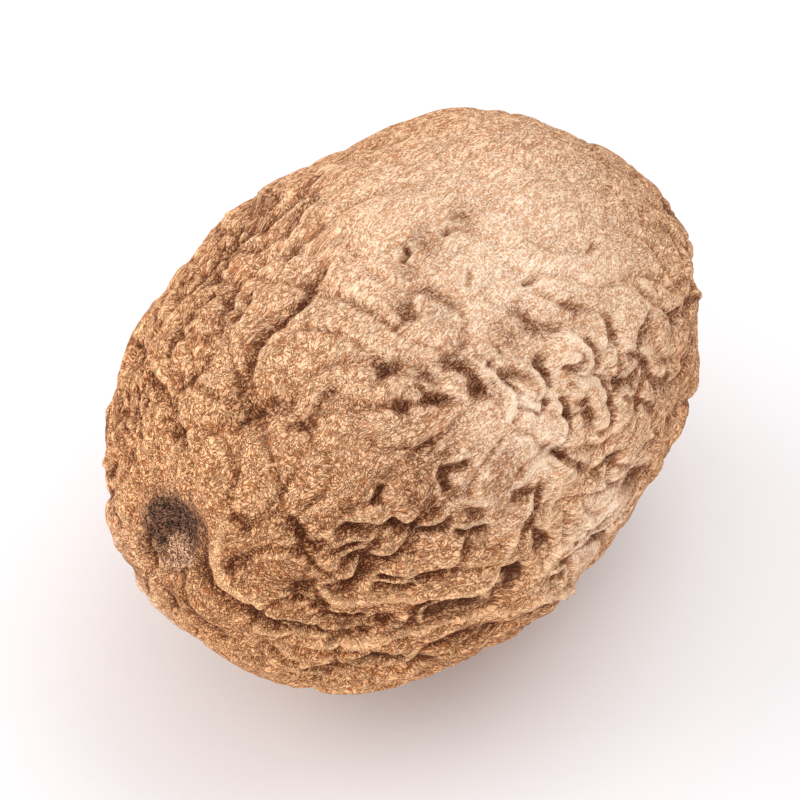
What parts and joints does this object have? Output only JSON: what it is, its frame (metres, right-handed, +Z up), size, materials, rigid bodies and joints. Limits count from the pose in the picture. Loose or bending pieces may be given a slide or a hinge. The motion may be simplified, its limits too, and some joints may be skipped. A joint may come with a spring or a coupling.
{
  "type": "whole nutmeg",
  "caption": "Whole dried nutmeg: a wrinkled egg-shaped kernel with a round stalk scar at one end, lying on its side.",
  "frame": {"origin": "middle of the bounding box at the bottom, on the flat spot that the nutmeg rests on", "axes": "+X along the long axis, from the hilum end to the chalaza end; +Z up"},
  "size_m": [0.0282, 0.0204, 0.0195],
  "materials": {
    "shell": "matt, dry and finely grained, pale tan with brown furrows"
  },
  "bodies": {
    "root": {"nutmeg": "shell"}
  },
  "joints": []
}
